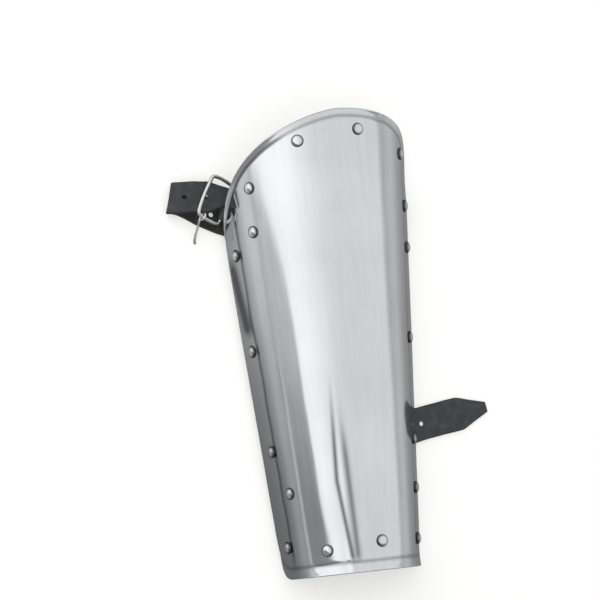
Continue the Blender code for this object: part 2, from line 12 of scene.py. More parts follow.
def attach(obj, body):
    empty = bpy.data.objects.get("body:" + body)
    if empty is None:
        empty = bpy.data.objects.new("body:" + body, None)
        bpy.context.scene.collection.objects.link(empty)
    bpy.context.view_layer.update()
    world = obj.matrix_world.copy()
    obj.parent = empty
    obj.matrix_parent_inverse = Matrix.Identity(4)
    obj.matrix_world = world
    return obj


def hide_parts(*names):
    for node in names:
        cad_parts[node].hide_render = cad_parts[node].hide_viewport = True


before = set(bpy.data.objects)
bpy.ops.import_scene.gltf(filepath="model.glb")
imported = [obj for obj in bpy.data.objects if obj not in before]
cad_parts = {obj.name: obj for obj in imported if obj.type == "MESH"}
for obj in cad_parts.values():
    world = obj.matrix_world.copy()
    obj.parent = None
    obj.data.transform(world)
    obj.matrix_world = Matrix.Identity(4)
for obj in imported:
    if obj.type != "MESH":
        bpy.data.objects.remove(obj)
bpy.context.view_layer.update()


# ---------------------------------------------------------------- plate
# The greave itself: one sheet of mild steel rolled to a tapered half tube, with its knee end cut
# to a lopsided dome, a lip turned out at both ends, and a flat flange creased along each side.
# The outside is belt-polished lengthwise, the inside is brushed with matt black paint.

class Field:
    """A number that varies over the surface, in a node tree, written as an ordinary formula."""

    def __init__(self, tree, socket):
        self.tree = tree
        self.socket = socket

    def calc(self, operation, *others):
        node = self.tree.nodes.new("ShaderNodeMath")
        node.operation = operation
        for socket, value in zip(node.inputs, (self,) + others):
            if isinstance(value, Field):
                self.tree.links.new(value.socket, socket)
            else:
                socket.default_value = value
        return Field(self.tree, node.outputs[0])

    def __add__(self, other):
        return self.calc("ADD", other)

    def __sub__(self, other):
        return self.calc("SUBTRACT", other)

    def __mul__(self, other):
        return self.calc("MULTIPLY", other)

    def __truediv__(self, other):
        return self.calc("DIVIDE", other)

    def __pow__(self, other):
        return self.calc("POWER", other)

    def clamped(self):
        return self.calc("MAXIMUM", 0.0).calc("MINIMUM", 1.0)

    def bump(self, middle, width):
        """1 on a line, falling off smoothly to both sides."""
        away = (self - middle) / width
        return (away * away * -1.0).calc("EXPONENT")

    def step(self, low, high):
        """0 below low, 1 above high, eased in between."""
        share = ((self - low) / (high - low)).clamped()
        return share * share * (share * -2.0 + 3.0)


def wire(tree, node, **inputs):
    """Sets a node's sockets, or links them where it gets a field or another node's socket."""
    for label, value in inputs.items():
        socket = node.inputs[label.replace("_", " ")]
        if isinstance(value, (Field, bpy.types.NodeSocket)):
            tree.links.new(getattr(value, "socket", value), socket)
        else:
            socket.default_value = value
    return node


def add_node(tree, kind, settings=None, **inputs):
    node = tree.nodes.new(kind)
    for key, value in (settings or {}).items():
        setattr(node, key, value)
    return wire(tree, node, **inputs)


def noise(tree, settings=None, **inputs):
    return Field(tree, add_node(tree, "ShaderNodeTexNoise", settings, **inputs).outputs["Fac"])


def shape_tree(name, sizes):
    """Empty Geometry Nodes tree with a named input for each size, and those sizes as fields."""
    tree = bpy.data.node_groups.new(name, "GeometryNodeTree")
    for way in ("OUTPUT", "INPUT"):
        tree.interface.new_socket(name="Geometry", in_out=way, socket_type="NodeSocketGeometry")
    entry = tree.nodes.new("NodeGroupInput")
    for label, (kind, _) in sizes.items():
        tree.interface.new_socket(name=label, in_out="INPUT", socket_type="NodeSocket" + kind)
    return tree, {label: Field(tree, entry.outputs[label]) for label in ["Geometry", *sizes]}


def finish_tree(tree, shape, material, **selection):
    """Ends a Geometry Nodes tree in real geometry with this material, on all or a selection."""
    real = add_node(tree, "GeometryNodeRealizeInstances", Geometry=shape)
    dress = add_node(tree, "GeometryNodeSetMaterial", Geometry=real.outputs[0], Material=material,
                     **selection)
    add_node(tree, "NodeGroupOutput", Geometry=dress.outputs[0])
    return tree


def placed(name, data):
    made = bpy.data.objects.new(name, data)
    bpy.context.scene.collection.objects.link(made)
    return made


def grown(name, tree, sizes, start=None, finish=()):
    """Plain mesh object of what the tree makes with these sizes and the finishing modifiers."""
    blank = placed(name + "_blank", start or bpy.data.meshes.new(name + "_blank"))
    growth = blank.modifiers.new("Growth", "NODES")
    growth.node_group = tree
    for item in tree.interface.items_tree:
        if item.in_out == "INPUT" and item.name in sizes:
            growth[item.identifier] = sizes[item.name][1]
    for kind, settings in finish:
        modifier = blank.modifiers.new(kind.title(), kind)
        for key, value in settings.items():
            setattr(modifier, key, value)
    view = bpy.context.evaluated_depsgraph_get()
    mesh = bpy.data.meshes.new_from_object(blank.evaluated_get(view), depsgraph=view)
    bpy.data.objects.remove(blank)
    mesh.name = name
    return placed(name, mesh)


def new_material(name, **sockets):
    """Principled material with these sockets set, its node tree and its shader."""
    material = bpy.data.materials.new(name)
    material.use_nodes = True
    tree = material.node_tree
    return material, tree, wire(tree, tree.nodes["Principled BSDF"], **sockets)


def effect_group(name, *settings):
    """Empty shader group for an effect, and its settings as fields."""
    group = bpy.data.node_groups.new(name, "ShaderNodeTree")
    for way, labels in (("INPUT", settings), ("OUTPUT", ("Tone", "Gloss", "Height"))):
        for label in labels:
            group.interface.new_socket(name=label, in_out=way, socket_type="NodeSocketFloat")
    entry = group.nodes.new("NodeGroupInput")
    return group, *(Field(group, entry.outputs[label]) for label in settings)


def polish_group():
    """Grinding streaks: fine lines along Y, broken by slow clouds, as tone, gloss and height."""
    group, fineness, cloud_size = effect_group("polish_streaks", "Fineness", "Cloud size")
    where = group.nodes.new("ShaderNodeTexCoord").outputs["Object"]
    stretch = add_node(group, "ShaderNodeMapping", Vector=where, Scale=(1.0, 0.035, 1.0))
    streak = noise(group, Vector=stretch.outputs[0], Scale=fineness, Detail=5.0)
    cloud = noise(group, Vector=where, Scale=cloud_size, Detail=3.0)
    add_node(group, "NodeGroupOutput", Tone=(streak * 0.30 + cloud * 0.70).step(0.30, 0.70),
             Gloss=(streak * 0.6 + cloud * 0.4).step(0.30, 0.75), Height=streak)
    return group


polish = polish_group()


def blend_finish(tree, shader, effect, dark, light, rough, lift):
    """Wires an effect's tone, gloss and height to a material's colour, roughness and relief."""
    tint = add_node(tree, "ShaderNodeMix", {"data_type": "RGBA"}, Factor=effect.outputs["Tone"],
                    A=dark, B=light)
    gloss = Field(tree, effect.outputs["Gloss"]) * (rough[1] - rough[0]) + rough[0]
    relief = add_node(tree, "ShaderNodeBump", Distance=lift, Height=effect.outputs["Height"])
    wire(tree, shader, Base_Color=tint.outputs["Result"], Roughness=gloss,
         Normal=relief.outputs["Normal"])
    return tint, gloss


def add_polish(tree, shader, fineness, clouds, dark, light, rough, lift):
    """Gives a metal its grinding streaks."""
    streaks = add_node(tree, "ShaderNodeGroup", {"node_tree": polish}, Fineness=fineness,
                       Cloud_size=clouds)
    return blend_finish(tree, shader, streaks, dark, light, rough, lift)


def add_painted_shade(tree, shader, tint, gloss, share):
    """Darkens a metal with painted shade where its crease mark is high, and dulls it there."""
    mark = add_node(tree, "ShaderNodeAttribute", {"attribute_name": "crease"})
    shade_amount = Field(tree, mark.outputs["Fac"])
    # painted shade: near-black mixed into the colour as far as the crease mark reaches
    painted_dark = add_node(tree, "ShaderNodeMix", {"data_type": "RGBA"}, Factor=shade_amount * share,
                     A=tint.outputs["Result"], B=(0.035, 0.038, 0.042, 1.0))
    wire(tree, shader, Base_Color=painted_dark.outputs["Result"], Roughness=gloss + shade_amount * 0.18)


plate_outside, plate_nodes, plate_shader = new_material("plate_outside", Metallic=1.0)
plate_tint, plate_gloss = add_polish(
    plate_nodes, plate_shader, 300.0, 13.0, (0.72, 0.75, 0.77, 1.0), (0.82, 0.84, 0.85, 1.0),
    (0.11, 0.17), 0.000007)
add_painted_shade(plate_nodes, plate_shader, plate_tint, plate_gloss, 0.78)

plate_inside, paint_nodes, paint_shader = new_material("plate_inside")
paint_place = paint_nodes.nodes.new("ShaderNodeTexCoord")
paint_brush = noise(paint_nodes, Vector=paint_place.outputs["Object"], Scale=55.0, Detail=7.0)
paint_tone = add_node(paint_nodes, "ShaderNodeValToRGB", Fac=paint_brush)
paint_tone.color_ramp.elements[0].color = (0.006, 0.006, 0.007, 1.0)
paint_tone.color_ramp.elements[1].color = (0.030, 0.031, 0.033, 1.0)
paint_relief = add_node(paint_nodes, "ShaderNodeBump", Distance=0.00012, Height=paint_brush)
wire(paint_nodes, paint_shader, Base_Color=paint_tone.outputs["Color"],
     Roughness=paint_brush * 0.35 + 0.36, Normal=paint_relief.outputs["Normal"])

plate_sizes = {
    "Length": ("Float", 0.363),
    "Knee radius": ("Float", 0.0795),
    "Ankle radius": ("Float", 0.0520),
    "Crease angle": ("Float", math.radians(70.0)),
    "Flange width": ("Float", 0.020),
    "Peak offset": ("Float", 0.012),
    "Left shoulder": ("Float", 0.084),
    "Right shoulder": ("Float", 0.050),
    "Foot corner": ("Float", 0.014),
    "Knee lip": ("Float", 0.0052),
    "Foot lip": ("Float", 0.0080),
    "Lip flare": ("Float", 0.0028),
    "Knee lift": ("Float", 0.0080),
    "Ankle lift": ("Float", 0.0037),
    "Unevenness": ("Float", 0.00030),
    "Outside": ("Material", plate_outside),
}
plate_wall, plate_edge = 0.0012, 0.00045
plate_place = Vector((-0.002951, -0.000042, 0.000097))


def plate_tree(sizes):
    """Bends a flat grid into the plate: X across from flange to flange, Y from foot to knee."""
    tree, size = shape_tree("greave_plate", sizes)
    bend_share, lip_rows, lip_reach = 0.84, 0.085, 1.6
    grid = add_node(tree, "GeometryNodeMeshGrid", Size_X=2.0, Size_Y=1.0, Vertices_X=223,
                    Vertices_Y=163)
    position = tree.nodes.new("GeometryNodeInputPosition")
    here = add_node(tree, "ShaderNodeSeparateXYZ", Vector=position.outputs[0])
    across, run = Field(tree, here.outputs["X"]), Field(tree, here.outputs["Y"]) * -1.0 + 0.5
    side = across.calc("SIGN")
    out_to = across.calc("ABSOLUTE")
    bend = (out_to / bend_share).calc("MINIMUM", 1.0)
    flange = ((out_to - bend_share) / (1.0 - bend_share)).calc("MAXIMUM", 0.0)

    def half_width(radius):
        return radius * size["Crease angle"] + size["Flange width"]

    def arc_at(radius):
        return bend * radius * size["Crease angle"] + flange * size["Flange width"]

    def from_knee_to_ankle(what, drop):
        knee, ankle = size["Knee " + what], size["Ankle " + what]
        return knee + (ankle - knee) * drop / size["Length"]

    # knee end: a superellipse each side of a peak that sits off the shin line
    share = side * arc_at(size["Knee radius"]) / half_width(size["Knee radius"])
    peak = size["Peak offset"] / half_width(size["Knee radius"])
    left = share.calc("LESS_THAN", peak)
    side_reach = peak * (left * 2.0 - 1.0) + 1.0
    reach = ((share - peak).calc("ABSOLUTE") / side_reach).calc("MINIMUM", 1.0)
    fall = size["Right shoulder"] + (size["Left shoulder"] - size["Right shoulder"]) * left
    power = left * -0.48 + 2.0
    root = (reach ** power * -1.0 + 1.0).calc("MAXIMUM", 0.0) ** (power ** -1.0)
    knee_edge = fall * (root * -1.0 + 1.0)

    # foot end: straight across with rounded corners
    from_side = half_width(size["Ankle radius"]) - arc_at(size["Ankle radius"])
    cut = (size["Foot corner"] - from_side).calc("MAXIMUM", 0.0)
    corner = size["Foot corner"] * size["Foot corner"] - cut * cut
    foot_edge = size["Length"] - size["Foot corner"] + corner.calc("MAXIMUM", 0.0).calc("SQRT")

    # rows: close together in the two lips, even between them
    knee_part = (run / lip_rows).calc("MINIMUM", 1.0)
    foot_part = ((run - (1.0 - lip_rows)) / lip_rows).calc("MAXIMUM", 0.0)
    body_part = ((run - lip_rows) / (1.0 - 2.0 * lip_rows)).clamped()
    knee_rows, foot_rows = size["Knee lip"] * lip_reach, size["Foot lip"] * lip_reach
    body_length = foot_edge - knee_edge - knee_rows - foot_rows
    drop = knee_edge + knee_rows * knee_part + body_length * body_part + foot_rows * foot_part

    radius = from_knee_to_ankle("radius", drop)
    arc = arc_at(radius)
    signed_arc = side * arc
    turn = bend * size["Crease angle"]

    # lips: turned out, with a fold inside them and a painted dark line in that fold on the left
    knee_lip = ((drop - knee_edge) / size["Knee lip"] * -1.0 + 1.0).clamped()
    foot_lip = ((drop - foot_edge + size["Foot lip"]) / size["Foot lip"]).clamped()
    flared = (knee_lip ** 1.7 * 0.62 + foot_lip ** 1.7) * size["Lip flare"]
    flared = flared * (flange * flange * -1.0 + 1.0)
    knee_fold = (drop - knee_edge).bump(size["Knee lip"], 0.0014)
    foot_fold = (foot_edge - drop).bump(size["Foot lip"], 0.0014)
    lip_fold = (knee_fold + foot_fold).calc("MINIMUM", 1.0)
    left_lip = (signed_arc * -1.0).step(0.028, 0.048) * (signed_arc + 0.105).step(0.0, 0.025)

    # flange crease: wanders by hand, and stops short of both ends
    wander = noise(tree, {"noise_dimensions": "1D"}, W=drop + side * 0.7, Scale=17.0, Detail=1.0)
    crease_line = radius * size["Crease angle"] + (wander - 0.5) * 0.005 + 0.0015
    body_only = (drop - knee_edge).step(0.004, 0.030) * (foot_edge - drop).step(0.004, 0.020)
    side_fold = arc.bump(crease_line, 0.0022) * body_only
    outer = (arc - crease_line).step(0.0, 0.016) * body_only

    # shin ridge, the two painted dark reflections beside it, and a painted dark reflection on the
    # left flange
    low_shin = drop.step(0.20, 0.27) * (foot_edge - drop).step(0.006, 0.014)
    kink = (drop - 0.290).calc("MAXIMUM", 0.0)
    ridge_left = (signed_arc + drop * 0.0227 - kink * 0.135).bump(-0.0104, 0.0017) * low_shin
    ridge_right = (signed_arc - drop * 0.035).bump(-0.0178, 0.0024) * low_shin
    ridge_right = ridge_right * drop.step(0.225, 0.275)
    ridge = signed_arc.bump(-0.0110, 0.0028) * drop.step(0.16, 0.34) * 0.0006
    flange_reflection = (signed_arc - drop * 0.21).bump(-0.1252, 0.0056) * drop.step(0.098, 0.118)
    flange_reflection = flange_reflection * ((drop - 0.172) * -1.0).step(0.0, 0.012)

    dent_place = add_node(tree, "ShaderNodeCombineXYZ", X=signed_arc, Y=drop * 0.45)
    dents = noise(tree, Vector=dent_place.outputs[0], Scale=24.0, Detail=1.5)
    uneven = (dents - 0.5) * size["Unevenness"] * 2.0

    out = flared - lip_fold * 0.00035 - side_fold * 0.00055 + outer * 0.0006 + ridge + uneven
    past = flange * size["Flange width"]
    sin_crease, cos_crease = size["Crease angle"].calc("SINE"), size["Crease angle"].calc("COSINE")
    centre_z = (from_knee_to_ankle("lift", drop) + size["Flange width"] * sin_crease
                - radius * cos_crease)
    away, up = (radius + out) * turn.calc("SINE"), (radius + out) * turn.calc("COSINE")
    place = add_node(tree, "ShaderNodeCombineXYZ",
                     X=side * (away + past * cos_crease) + plate_place.x,
                     Y=size["Length"] * 0.5 - drop + plate_place.y,
                     Z=centre_z + up - past * sin_crease + plate_place.z)

    # crease mark: painted shade in the flange and lip folds, painted dark reflections beside the
    # ridge and on the left flange
    mark = (side_fold * 0.8 + lip_fold * 0.6 + knee_fold * left_lip * 0.7 + ridge_left * 1.05
            + ridge_right * 0.85 + flange_reflection * 1.25).clamped()
    keep = add_node(tree, "GeometryNodeStoreNamedAttribute", Geometry=grid.outputs["Mesh"],
                    Name="crease", Value=mark)
    shaped = add_node(tree, "GeometryNodeSetPosition", Geometry=keep.outputs["Geometry"],
                      Position=place.outputs[0])
    return finish_tree(tree, shaped.outputs["Geometry"], size["Outside"])


plate = grown("plate", plate_tree(plate_sizes), plate_sizes, finish=(
    ("SOLIDIFY", {"thickness": plate_wall, "offset": -1.0, "material_offset": 1,
                  "material_offset_rim": 0, "use_even_offset": True}),
    ("BEVEL", {"width": plate_edge, "segments": 2, "limit_method": "ANGLE", "angle_limit": 1.0})))
plate.data.materials.clear()
plate.data.materials.append(plate_outside)
plate.data.materials.append(plate_inside)
plate.data.shade_smooth()
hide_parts("shell")
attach(plate, "root")


# ---------------------------------------------------------------- rivets
# Eighteen mild-steel rivets, fourteen round the border and four that also hold leather: turned
# domes polished with the plate, hammered over inside onto tails that the paint covers. All are
# one blank, set square to the plate where the table has it and seated on its uneven face.

rivet_rows = (
    # place in mm, outward direction, how far inside the plate's face the tail sits in mm
    (-25.1, 159.2, 74.6, -0.284, -0.062, 0.957, 1.7),
    (24.8, 165.2, 73.1, 0.353, -0.062, 0.933, 1.7),
    (-62.1, 128.5, 47.4, -0.781, -0.067, 0.621, 1.7),
    (66.5, 148.1, 33.3, 0.901, -0.070, 0.429, 1.7),
    (-61.9, 93.8, 43.7, -0.807, -0.067, 0.586, 3.6),
    (68.8, 107.4, 19.7, 0.937, -0.071, 0.341, 4.4),
    (-72.9, 78.6, 18.7, -0.937, -0.071, 0.341, 1.7),
    (67.8, 74.2, 15.4, 0.937, -0.071, 0.341, 1.7),
    (-67.5, 1.3, 17.3, -0.937, -0.071, 0.341, 1.7),
    (61.1, 1.3, 18.7, 0.937, -0.071, 0.341, 1.7),
    (-61.0, -79.8, 18.4, -0.937, -0.071, 0.341, 1.7),
    (55.4, -79.8, 17.7, 0.937, -0.071, 0.341, 1.7),
    (-52.7, -114.5, 31.8, -0.870, -0.069, 0.488, 3.6),
    (52.9, -119.0, 16.3, 0.937, -0.071, 0.341, 4.4),
    (-55.7, -156.7, 17.0, -0.937, -0.071, 0.341, 1.7),
    (49.9, -159.7, 16.1, 0.937, -0.071, 0.341, 1.7),
    (-31.3, -162.3, 49.9, -0.529, -0.064, 0.846, 1.7),
    (12.0, -159.0, 56.1, 0.278, -0.062, 0.959, 1.7),
)
rivet_nodes = ["rivet_" + place for place in (
    "dome_left", "dome_right", "shoulder_left", "shoulder_right", "upper_chape", "upper_strap",
    "side_left_1", "side_right_1", "side_left_2", "side_right_2", "side_left_3", "side_right_3",
    "lower_chape", "lower_strap", "corner_left", "corner_right", "foot_left", "foot_right")]
head_radius, head_height, head_sink = 0.0050, 0.0029, 0.00035
tail_radius, tail_height, tail_sink = 0.0031, 0.0011, 0.0004
shank_radius, shank_in_head, shank_in_tail = 0.0015, 0.0005, 0.0003

rivet_steel, rivet_shading, rivet_shader = new_material("rivet_steel", Metallic=1.0)
rivet_tint, rivet_gloss = add_polish(
    rivet_shading, rivet_shader, 700.0, 90.0, (0.74, 0.76, 0.78, 1.0), (0.86, 0.87, 0.88, 1.0),
    (0.12, 0.20), 0.000006)
add_painted_shade(rivet_shading, rivet_shader, rivet_tint, rivet_gloss, 0.95)


def smooth_mesh(name, solid, *materials):
    """Mesh from a bmesh, its faces outward and shaded smooth."""
    bmesh.ops.recalc_face_normals(solid, faces=solid.faces)
    for face in solid.faces:
        face.smooth = True
    mesh = bpy.data.meshes.new(name)
    solid.to_mesh(mesh)
    solid.free()
    for material in materials:
        mesh.materials.append(material)
    return mesh


def turned(name, profile, sides, material, ring_shade=()):
    """Closed round blank from (radius, height) rings that start and end on the axis."""
    solid = bmesh.new()
    # each ring gets a share of painted shade, kept as its crease mark
    shade_layer = solid.verts.layers.float.new("crease")
    rings = []
    for index, (radius, height) in enumerate(profile):
        count = sides if radius else 1
        turns = [2 * math.pi * k / count for k in range(count)]
        ring = [solid.verts.new((radius * math.cos(t), radius * math.sin(t), height))
                for t in turns]
        for vert in ring:
            vert[shade_layer] = ring_shade[index] if ring_shade else 0.0
        rings.append(ring)
    for lower, upper in zip(rings, rings[1:]):
        for k in range(sides):
            corners = [ring[j % len(ring)] for ring, j in
                       ((lower, k), (lower, k + 1), (upper, k + 1), (upper, k))]
            solid.faces.new(list(dict.fromkeys(corners)))
    return placed(name, smooth_mesh(name, solid, material))


def dome_rings(radius, height, sink, steps):
    """Profile of a half ellipsoid on a short straight foot, from the axis below to that above."""
    turns = [math.pi / 2 * k / steps for k in range(steps)]
    return ([(0.0, -sink), (radius * 0.96, -sink), (radius, -sink * 0.7)]
            + [(radius * math.cos(t), height * math.sin(t)) for t in turns] + [(0.0, height)])


def marked_points(name, rows, **marks):
    """Loose points in metres from rows that begin with a place in mm, each with its marks."""
    mesh = bpy.data.meshes.new(name)
    mesh.from_pydata([[value * 0.001 for value in row[:3]] for row in rows], [], [])
    for label, (kind, columns) in marks.items():
        layer = mesh.attributes.new(label, kind, "POINT")
        for entry, row in zip(layer.data, rows):
            if kind == "FLOAT":
                entry.value = row[columns]
            else:
                entry.vector = row[columns]
    return mesh


def face_mark(tree, shape, label, value):
    """The shape with this value stored on all its faces."""
    mark = add_node(tree, "GeometryNodeStoreNamedAttribute", {"domain": "FACE"}, Geometry=shape,
                    Name=label, Value=value)
    return mark.outputs[0]


def read_mark(tree, label):
    """A number stored on the geometry, as a field."""
    mark = add_node(tree, "GeometryNodeInputNamedAttribute", Name=label)
    return Field(tree, mark.outputs["Attribute"])


def direction(tree, label):
    """A direction stored on the geometry, as an output socket."""
    mark = add_node(tree, "GeometryNodeInputNamedAttribute", {"data_type": "FLOAT_VECTOR"},
                    Name=label)
    return mark.outputs["Attribute"]


head_rings = dome_rings(head_radius, head_height, head_sink, 9)
tail_rings = dome_rings(tail_radius, tail_height, tail_sink, 5)
# painted shade round the foot and lower half of each head's dome, fading out towards the top
head_shade = [1.0] * 6 + [0.85, 0.45, 0.12] + [0.0] * 4
rivet_sizes = {
    "Head": ("Object", turned("rivet_head", head_rings, 32, rivet_steel, head_shade)),
    "Tail": ("Object", turned("rivet_tail", tail_rings, 20, plate_inside)),
    "Plate": ("Object", plate),
    "Shank radius": ("Float", shank_radius),
    "Size spread": ("Float", 0.03),
    "Hammering": ("Float", 0.00009),
    "Paint": ("Material", plate_inside),
    "Steel": ("Material", rivet_steel),
}


def rivet_tree(sizes):
    """Seats a head on the plate at each point, with a shank and a hammered tail behind it."""
    tree, size = shape_tree("greave_rivets", sizes)
    outward = direction(tree, "outward")
    depth = read_mark(tree, "inset") * 0.001
    here = tree.nodes.new("GeometryNodeInputPosition").outputs[0]

    def blank(label):
        return add_node(tree, "GeometryNodeObjectInfo", Object=size[label]).outputs["Geometry"]

    def scaled(vector, share):
        return add_node(tree, "ShaderNodeVectorMath", {"operation": "SCALE"}, Vector=vector,
                        Scale=share).outputs[0]

    def shifted(vector, share):
        """The outward direction times this share, added to the vector."""
        total = tree.nodes.new("ShaderNodeVectorMath")
        tree.links.new(vector, total.inputs[0])
        tree.links.new(scaled(outward, share), total.inputs[1])
        return total.outputs[0]

    def moved(points, place):
        return add_node(tree, "GeometryNodeSetPosition", Geometry=points, Position=place).outputs[0]

    def facing(vector):
        return add_node(tree, "FunctionNodeAlignRotationToVector", {"axis": "Z"},
                        Vector=vector).outputs[0]

    def instances(**inputs):
        return add_node(tree, "GeometryNodeInstanceOnPoints", **inputs).outputs[0]

    face = add_node(tree, "GeometryNodeProximity", {"target_element": "FACES"},
                    Geometry=blank("Plate"), Sample_Position=shifted(here, 0.0016))
    seats = moved(size["Geometry"], face.outputs["Position"])
    square = facing(outward)
    spread = add_node(tree, "FunctionNodeRandomValue", Min=0.0, Max=1.0, Seed=11)
    grow = Field(tree, spread.outputs[1]) * size["Size spread"] + (size["Size spread"] * -0.5 + 1.0)
    heads = instances(Points=seats, Rotation=square, Instance=blank("Head"), Scale=grow)

    # tails and shanks go in from the seated heads, and the tails face the other way
    nowhere = tree.nodes.new("ShaderNodeCombineXYZ").outputs[0]
    tails = instances(Points=moved(seats, shifted(here, (depth - head_sink) * -1.0)),
                      Rotation=facing(shifted(nowhere, -1.0)), Instance=blank("Tail"))
    rod = add_node(tree, "GeometryNodeMeshCylinder", Vertices=16, Radius=size["Shank radius"],
                   Depth=1.0)
    painted_rod = add_node(tree, "GeometryNodeSetMaterial", Geometry=rod.outputs["Mesh"],
                           Material=size["Paint"])
    length = add_node(tree, "ShaderNodeCombineXYZ", X=1.0, Y=1.0,
                      Z=depth + (shank_in_head + shank_in_tail))
    middle = depth * -0.5 + (shank_in_head - shank_in_tail) / 2.0
    shanks = instances(Points=moved(seats, shifted(here, middle)), Rotation=square,
                       Instance=painted_rod.outputs[0], Scale=length.outputs[0])

    dent = (noise(tree, Scale=520.0, Detail=1.0) - 0.5) * size["Hammering"] * 2.0
    together = tree.nodes.new("GeometryNodeJoinGeometry")
    for copies, dented, is_head in ((shanks, 0.0, 0.0), (tails, 2.5, 0.0), (heads, 0.35, 1.0)):
        loose = add_node(tree, "GeometryNodeRealizeInstances", Geometry=copies)
        normal = tree.nodes.new("GeometryNodeInputNormal").outputs[0]
        push = add_node(tree, "GeometryNodeSetPosition", Geometry=loose.outputs[0],
                        Offset=scaled(normal, dent * dented))
        tree.links.new(face_mark(tree, push.outputs[0], "head", is_head), together.inputs[0])
    return finish_tree(tree, together.outputs[0], size["Steel"],
                       Selection=read_mark(tree, "head").calc("GREATER_THAN", 0.5))


rivet_points = marked_points("rivet_points", rivet_rows, outward=("FLOAT_VECTOR", slice(3, 6)),
                             inset=("FLOAT", 6))
rivets = grown("rivets", rivet_tree(rivet_sizes), rivet_sizes, start=rivet_points)
for blank_name in ("rivet_head", "rivet_tail"):
    bpy.data.objects.remove(bpy.data.objects[blank_name])
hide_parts(*rivet_nodes)
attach(rivets, "root")


# ---------------------------------------------------------------- straps
# Two long straps of black-finished leather, riveted inside the right wall and cut to a blunt
# point. The grain side is printed and waxed, the flesh side and the cut edges are dull. Their
# buckle holes are punched right through.

upper_strap_width, lower_strap_width, strap_thickness = 0.025, 0.027, 0.0024
strap_tip_length, strap_tip_share = 0.023, 0.30
upper_strap_rows = (
    # middle of the strap in mm, then the direction of its width
    (62.6, 107.6, 27.9, -0.07, -1.00, -0.01),
    (66.1, 107.6, 18.7, -0.01, -0.98, -0.18),
    (70.3, 107.6, 6.4, -0.01, -0.99, -0.15),
    (69.4, 107.6, 3.4, -0.00, -1.00, -0.09),
    (66.8, 107.6, 1.6, -0.00, -1.00, -0.03),
    (55.5, 107.1, 1.3, 0.04, -1.00, 0.00),
    (47.9, 106.1, 1.3, 0.07, -1.00, 0.00),
    (26.6, 101.5, 1.3, 0.14, -0.99, 0.00),
    (2.7, 97.2, 1.3, 0.09, -1.00, 0.00),
    (-9.6, 95.6, 1.3, 0.02, -1.00, 0.00),
    (-21.4, 95.1, 1.3, -0.07, -1.00, 0.00),
    (-32.6, 96.6, 1.3, -0.17, -0.99, 0.00),
    (-43.2, 99.2, 1.3, -0.28, -0.96, 0.00),
    (-62.0, 104.8, 1.3, -0.43, -0.90, 0.00),
    (-70.2, 107.8, 1.3, -0.48, -0.88, 0.00),
    (-79.2, 111.6, 1.3, -0.50, -0.87, 0.00),
    (-91.1, 117.7, 1.3, -0.50, -0.87, 0.00),
    (-112.7, 129.6, 1.3, -0.47, -0.88, 0.00),
    (-115.2, 129.9, 1.8, -0.42, -0.91, 0.00),
    (-117.3, 130.2, 3.2, -0.36, -0.93, 0.00),
    (-118.7, 130.4, 5.3, -0.30, -0.95, 0.00),
    (-119.2, 130.4, 7.8, -0.24, -0.97, 0.00),
    (-118.7, 130.4, 10.3, -0.18, -0.98, 0.00),
    (-117.3, 130.2, 12.4, -0.12, -0.99, 0.00),
    (-115.2, 129.9, 13.8, -0.06, -1.00, 0.00),
    (-112.7, 129.6, 14.3, 0.00, -1.00, 0.00),
    (-102.7, 129.6, 14.2, 0.00, -1.00, 0.00),
    (-92.0, 128.9, 12.9, 0.00, -1.00, 0.00),
    (-79.2, 128.6, 11.6, 0.00, -1.00, 0.00),
    (-65.8, 128.1, 11.6, 0.00, -1.00, 0.00),
)
lower_strap_rows = (
    (46.5, -118.8, 25.3, -0.07, -1.00, -0.02),
    (50.2, -118.8, 15.3, -0.01, -0.98, -0.18),
    (53.2, -118.8, 6.4, -0.01, -0.99, -0.15),
    (52.3, -118.8, 3.4, -0.00, -1.00, -0.09),
    (49.7, -118.8, 1.6, -0.00, -1.00, -0.03),
    (-23.6, -114.5, 1.3, 0.00, -1.00, 0.00),
    (-24.8, -114.5, 1.5, 0.00, -1.00, 0.00),
    (-26.4, -114.5, 3.1, 0.00, -1.00, 0.00),
    (-26.6, -114.5, 4.3, 0.00, -1.00, 0.00),
    (-25.8, -114.5, 6.4, 0.00, -1.00, 0.00),
    (-23.6, -114.5, 7.3, 0.00, -1.00, 0.00),
    (-17.9, -114.2, 7.2, 0.13, -0.99, 0.00),
    (-13.5, -112.9, 7.1, 0.21, -0.98, 0.00),
    (-8.1, -110.2, 7.0, 0.30, -0.95, 0.00),
    (5.0, -102.1, 6.6, 0.47, -0.88, 0.00),
    (26.9, -86.7, 5.1, 0.42, -0.91, 0.00),
    (34.1, -82.4, 3.9, 0.37, -0.93, 0.00),
    (47.2, -75.4, 1.3, 0.26, -0.97, 0.00),
    (55.8, -71.2, 1.3, 0.21, -0.98, 0.00),
    (60.7, -69.7, 1.3, 0.19, -0.98, 0.00),
    (67.3, -68.4, 1.3, 0.18, -0.98, 0.00),
    (122.9, -59.9, 1.3, 0.16, -0.99, 0.00),
)
upper_strap_holes = (
    # place in mm, then the direction through the leather
    (-91.0, 128.9, 12.8, -0.12, 0.00, -0.99),
    (-108.9, 129.7, 14.3, 0.00, 0.00, -1.00),
    (-118.0, 130.3, 3.9, 0.67, -0.26, 0.70),
    (-102.3, 123.9, 1.3, 0.00, 0.00, 1.00),
    (-86.5, 115.3, 1.3, 0.00, 0.00, 1.00),
)
lower_strap_holes = (
    (67.5, -68.4, 1.3, 0.00, 0.00, -1.00),
    (50.4, -73.7, 1.3, 0.00, 0.00, -1.00),
    (34.7, -82.0, 3.8, -0.16, -0.06, -0.99),
    (19.7, -91.7, 5.8, -0.06, -0.03, -1.00),
)
strap_hole_radius = 1.9


